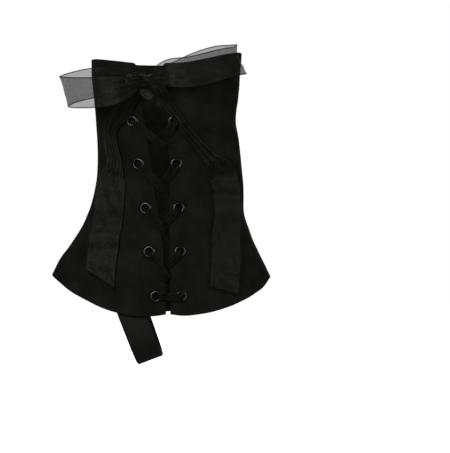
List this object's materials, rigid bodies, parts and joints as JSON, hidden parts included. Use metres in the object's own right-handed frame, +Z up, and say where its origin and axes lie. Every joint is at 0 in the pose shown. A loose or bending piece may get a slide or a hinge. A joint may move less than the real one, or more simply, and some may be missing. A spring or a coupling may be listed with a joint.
{
  "type": "laced ankle spat",
  "caption": "Black cloth ankle spat in its worn shape, open at leg and hem, side-laced with a sheer ribbon tied in a bow, with a strap that passes under the shoe.",
  "frame": {"origin": "on the leg's axis at the narrowest level of the ankle, where the wearer's leg holds the spat", "axes": "+X to the toe, +Z up the leg, and the laced outer side faces -Y"},
  "size_m": [0.1576, 0.107, 0.2287],
  "materials": {
    "cloth": "matte black felted cloth, doubled so that both faces are finished",
    "strap": "matte black ribbed elastic webbing",
    "eyelet": "black nickel plating",
    "ribbon": "sheer black organza"
  },
  "bodies": {
    "root": {"outer_back": "cloth", "outer_front": "cloth", "inner_side": "cloth", "stirrup_strap": "strap", "eyelet_back_1": "eyelet", "eyelet_front_1": "eyelet", "eyelet_back_2": "eyelet", "eyelet_front_2": "eyelet", "eyelet_back_3": "eyelet", "eyelet_front_3": "eyelet", "eyelet_back_4": "eyelet", "eyelet_front_4": "eyelet", "eyelet_back_5": "eyelet", "eyelet_front_5": "eyelet", "eyelet_back_6": "eyelet", "eyelet_front_6": "eyelet", "lace_bar": "ribbon", "lace_end_back": "ribbon", "lace_end_front": "ribbon", "lace_from_back_1": "ribbon", "lace_from_back_2": "ribbon", "lace_from_back_3": "ribbon", "lace_from_back_4": "ribbon", "lace_from_back_5": "ribbon", "lace_from_front_1": "ribbon", "lace_from_front_2": "ribbon", "lace_from_front_3": "ribbon", "lace_from_front_4": "ribbon", "lace_from_front_5": "ribbon", "bow_knot": "ribbon", "bow_loop_back": "ribbon", "bow_loop_front": "ribbon", "bow_tail_back": "ribbon", "bow_tail_front": "ribbon"}
  },
  "joints": []
}
